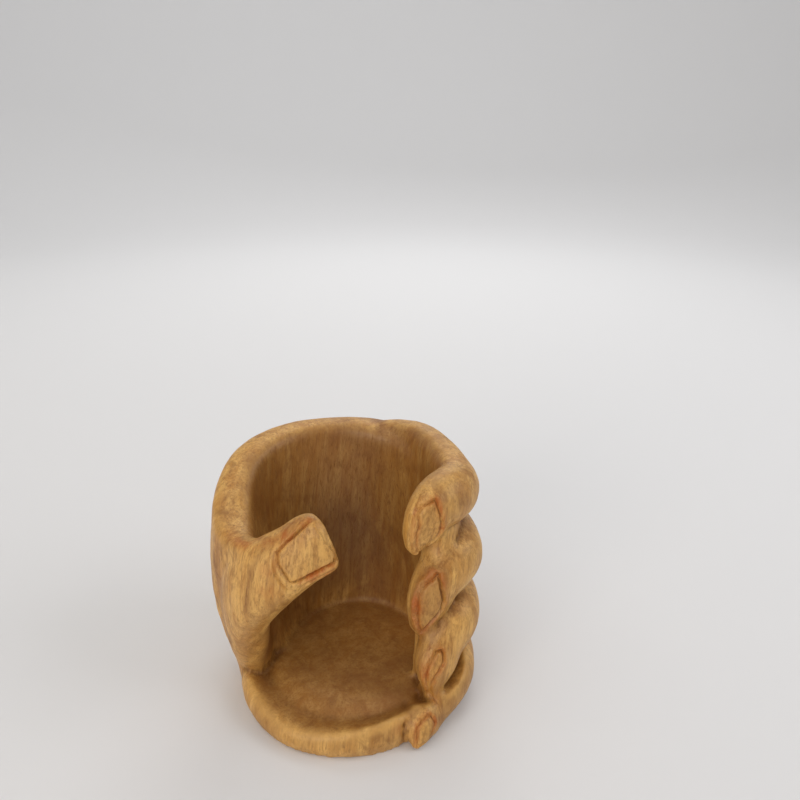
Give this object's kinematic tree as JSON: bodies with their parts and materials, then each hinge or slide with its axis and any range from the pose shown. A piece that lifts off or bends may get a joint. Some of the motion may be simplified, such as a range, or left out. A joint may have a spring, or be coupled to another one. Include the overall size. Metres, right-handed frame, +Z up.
{
  "type": "bottle holder",
  "caption": "Carved wooden hand that grips a standing bottle, one solid piece with a floor that the bottle stands on.",
  "frame": {"origin": "on the axis of the bottle that it holds, at the table", "axes": "+Z up along the bottle, -Y out through the open front between thumb and fingertips, +X towards the fingers"},
  "size_m": [0.1435, 0.1326, 0.1366],
  "materials": {
    "wood": "hand-carved hardwood, oiled to a satin sheen"
  },
  "bodies": {
    "root": {"hand": "wood"}
  },
  "joints": []
}
